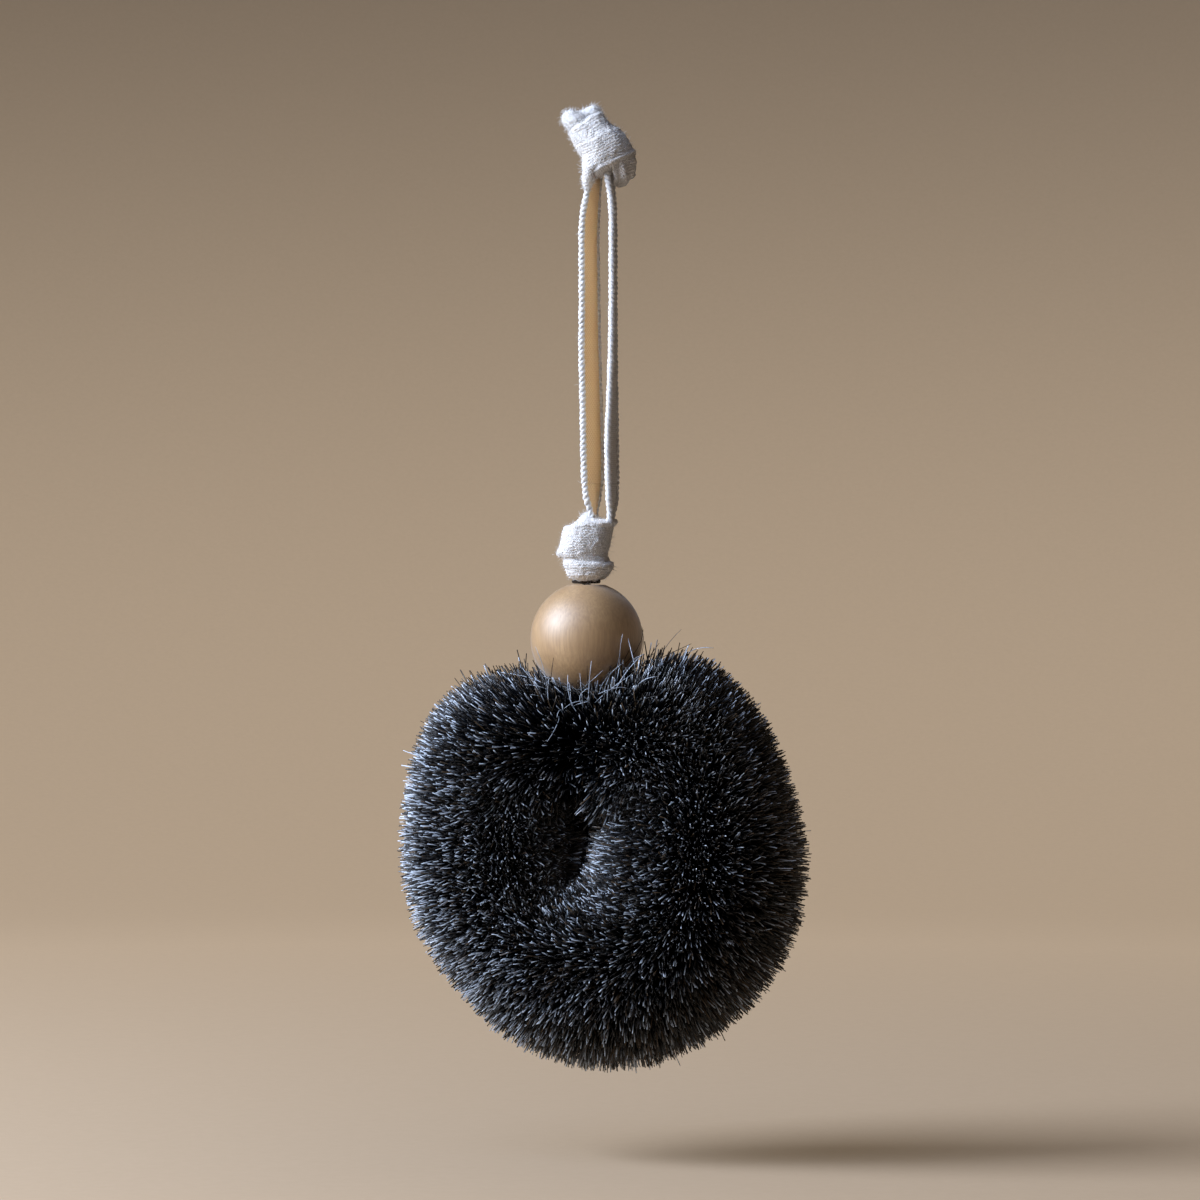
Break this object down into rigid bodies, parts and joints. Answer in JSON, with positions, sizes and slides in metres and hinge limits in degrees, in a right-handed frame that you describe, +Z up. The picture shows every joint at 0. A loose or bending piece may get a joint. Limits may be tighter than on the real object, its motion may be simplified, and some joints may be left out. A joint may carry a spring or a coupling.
{
  "type": "bath brush",
  "caption": "Ring-shaped bristle bath brush on a twisted wire stem through a turned wooden bead, hung from a flat cotton tape loop knotted at both ends.",
  "frame": {"origin": "inside top of the tape's loop, where a hook bears", "axes": "+Z up along the hanging tape, ring of bristles in the XZ plane, tape's width along Y, -Y is the front"},
  "size_m": [0.1107, 0.0599, 0.2557],
  "materials": {
    "bristle_fibre": "stiff dyed plant fibre, semi-gloss, trimmed tips",
    "dark_wire": "dark drawn steel wire, satin",
    "bead_wood": "turned pale hardwood, oiled satin, fine upright grain",
    "cotton_tape": "woven natural cotton tape with corded selvedges, matt"
  },
  "bodies": {
    "tape_loop": {"upper_knot": "cotton_tape", "tape_end_front": "cotton_tape", "tape_end_back": "cotton_tape", "tape_left": "cotton_tape", "tape_right": "cotton_tape"},
    "tape_bend": {"tape_bend_left": "cotton_tape", "tape_bend_right": "cotton_tape"},
    "brush": {"bristle_01": "bristle_fibre", "bristle_02": "bristle_fibre", "bristle_03": "bristle_fibre", "bristle_04": "bristle_fibre", "bristle_05": "bristle_fibre", "bristle_06": "bristle_fibre", "bristle_07": "bristle_fibre", "bristle_08": "bristle_fibre", "bristle_09": "bristle_fibre", "bristle_10": "bristle_fibre", "bristle_11": "bristle_fibre", "bristle_12": "bristle_fibre", "bristle_13": "bristle_fibre", "bristle_14": "bristle_fibre", "eye_wire": "dark_wire", "curl_wire": "dark_wire", "lower_knot": "cotton_tape"},
    "bead": {"bead": "bead_wood"}
  },
  "joints": [
    {"name": "tape_twist", "type": "hinge", "parent": "tape_loop", "child": "tape_bend", "pos_m": [0, 0, -0.0827], "axis": [0, 0, 1], "range_deg": [-180, 180], "deforming": ["tape_bend_left", "tape_bend_right"]},
    {"name": "brush_swing", "type": "hinge", "parent": "tape_bend", "child": "brush", "pos_m": [0, 0, -0.0827], "axis": [0, -1, 0], "range_deg": [-75, 75], "deforming": ["tape_bend_left", "tape_bend_right"]},
    {"name": "bead_spin", "type": "hinge", "parent": "brush", "child": "bead", "pos_m": [-0.0046, 0, -0.11955], "axis": [0, 0, 1], "continuous": true}
  ]
}
